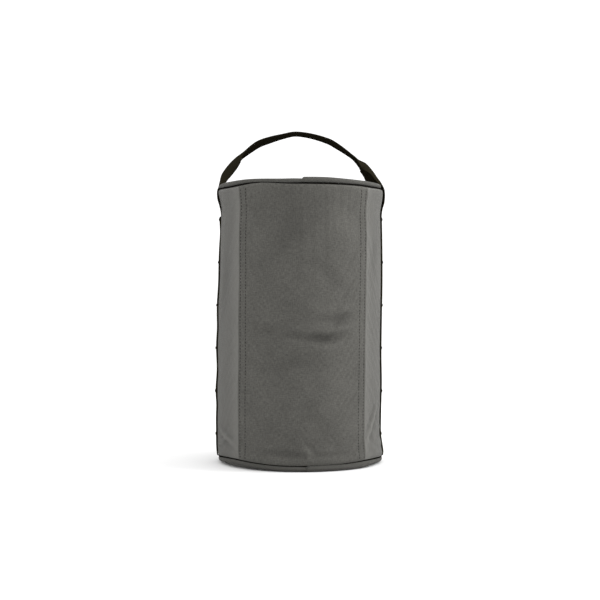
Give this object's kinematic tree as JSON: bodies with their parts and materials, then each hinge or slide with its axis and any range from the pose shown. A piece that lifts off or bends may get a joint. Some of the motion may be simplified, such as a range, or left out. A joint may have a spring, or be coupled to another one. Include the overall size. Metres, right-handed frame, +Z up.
{
  "type": "bear canister with padded carry case",
  "caption": "Hard round bear canister inside a padded cylindrical fabric case with zipped lid, piping, lash straps and webbing handle.",
  "frame": {"origin": "centre of the base panel's underside, on the surface that it stands on", "axes": "+Z up, the front panel faces -Y, the side straps are on +X and -X"},
  "size_m": [0.2384, 0.2322, 0.466],
  "materials": {
    "canvas": "matt",
    "coated_fabric": "satin",
    "foam": "matt",
    "lining": "satin",
    "board": "matt",
    "piping_cord": "matt",
    "binding": "matt",
    "webbing": "matt",
    "tack_thread": "matt",
    "zip_tape": "matt",
    "zip_coil": "satin",
    "slider_metal": "satin",
    "canister_plastic": "matt",
    "canister_lid_plastic": "matt",
    "lock_steel": "brushed"
  },
  "bodies": {
    "case": {"back_panel": "canvas", "base_board": "board", "base_foam": "foam", "base_lining": "lining", "base_panel": "coated_fabric", "base_piping_cord": "piping_cord", "base_piping_cover": "coated_fabric", "base_seam_binding": "binding", "canister_shell": "canister_plastic", "front_panel": "canvas", "hinge_strip": "coated_fabric", "rim_piping_cord": "piping_cord", "rim_piping_cover": "coated_fabric", "rim_seam_binding": "binding", "side_panel_left": "coated_fabric", "side_panel_right": "coated_fabric", "side_strap_left": "webbing", "side_strap_right": "webbing", "strap_bar_tacks": "tack_thread", "wall_foam": "foam", "wall_lining": "lining", "zip_coil_case": "zip_coil", "zip_end_tabs": "coated_fabric", "zip_tape_case": "zip_tape"},
    "lid": {"lid_panel": "coated_fabric", "lid_foam": "foam", "lid_lining": "lining", "zip_tape_lid": "zip_tape", "zip_coil_lid": "zip_coil"},
    "slider_left": {"zip_slider_left": "slider_metal"},
    "slider_right": {"zip_slider_right": "slider_metal"},
    "pull_left": {"zip_pull_left": "slider_metal"},
    "pull_right": {"zip_pull_right": "slider_metal"},
    "handle": {"handle_strap": "webbing"},
    "inner_lid": {"canister_lid": "canister_lid_plastic"},
    "lock_1": {"lock_cam_1": "lock_steel", "lock_nut_1": "lock_steel", "lock_sleeve_1": "lock_steel", "lock_stud_1": "lock_steel"},
    "lock_2": {"lock_cam_2": "lock_steel", "lock_nut_2": "lock_steel", "lock_sleeve_2": "lock_steel", "lock_stud_2": "lock_steel"},
    "lock_3": {"lock_cam_3": "lock_steel", "lock_nut_3": "lock_steel", "lock_sleeve_3": "lock_steel", "lock_stud_3": "lock_steel"}
  },
  "joints": [
    {"name": "lid_open", "type": "hinge", "parent": "case", "child": "lid", "pos_m": [0, -0.088, 0.3872], "axis": [1, 0, 0], "range_deg": [0, 140], "deforming": ["zip_tape_lid", "zip_coil_lid", "handle_strap"]},
    {"name": "slider_left_run", "type": "hinge", "parent": "case", "child": "slider_left", "pos_m": [0, 0, 0.387], "axis": [0, 0, 1], "range_deg": [0, 126], "deforming": ["zip_tape_case", "zip_coil_case"]},
    {"name": "pull_left_swing", "type": "hinge", "parent": "slider_left", "child": "pull_left", "pos_m": [-0.0063, 0.10431, 0.3913], "axis": [-0.0603, 0.9982, 0], "range_deg": [0, 100]},
    {"name": "slider_right_run", "type": "hinge", "parent": "case", "child": "slider_right", "pos_m": [0, 0, 0.387], "axis": [0, 0, 1], "range_deg": [-126, 0], "deforming": ["zip_tape_case", "zip_coil_case"]},
    {"name": "pull_right_swing", "type": "hinge", "parent": "slider_right", "child": "pull_right", "pos_m": [0.0063, 0.10431, 0.3913], "axis": [-0.0603, -0.9982, 0], "range_deg": [0, 100]},
    {"name": "handle_swing", "type": "hinge", "parent": "case", "child": "handle", "pos_m": [0, 0, 0.346], "axis": [1, 0, 0], "range_deg": [-90, 90], "stiffness_Nm_per_rad": 0.12, "deforming": ["handle_strap"]},
    {"name": "canister_lid_turn", "type": "hinge", "parent": "case", "child": "inner_lid", "pos_m": [0, 0, 0.3692], "axis": [0, 0, 1], "range_deg": [-60, 60]},
    {"name": "lock_1_turn", "type": "hinge", "parent": "inner_lid", "child": "lock_1", "pos_m": [0, 0.078, 0.3736], "axis": [0, 0, 1], "range_deg": [0, 90]},
    {"name": "lock_2_turn", "type": "hinge", "parent": "inner_lid", "child": "lock_2", "pos_m": [-0.06755, -0.039, 0.3736], "axis": [0, 0, 1], "range_deg": [0, 90]},
    {"name": "lock_3_turn", "type": "hinge", "parent": "inner_lid", "child": "lock_3", "pos_m": [0.06755, -0.039, 0.3736], "axis": [0, 0, 1], "range_deg": [0, 90]}
  ],
  "couplings": [
    {"joint": "slider_left_run", "follows": "lid_open", "ratio": 0.9},
    {"joint": "slider_right_run", "follows": "lid_open", "ratio": -0.9}
  ]
}
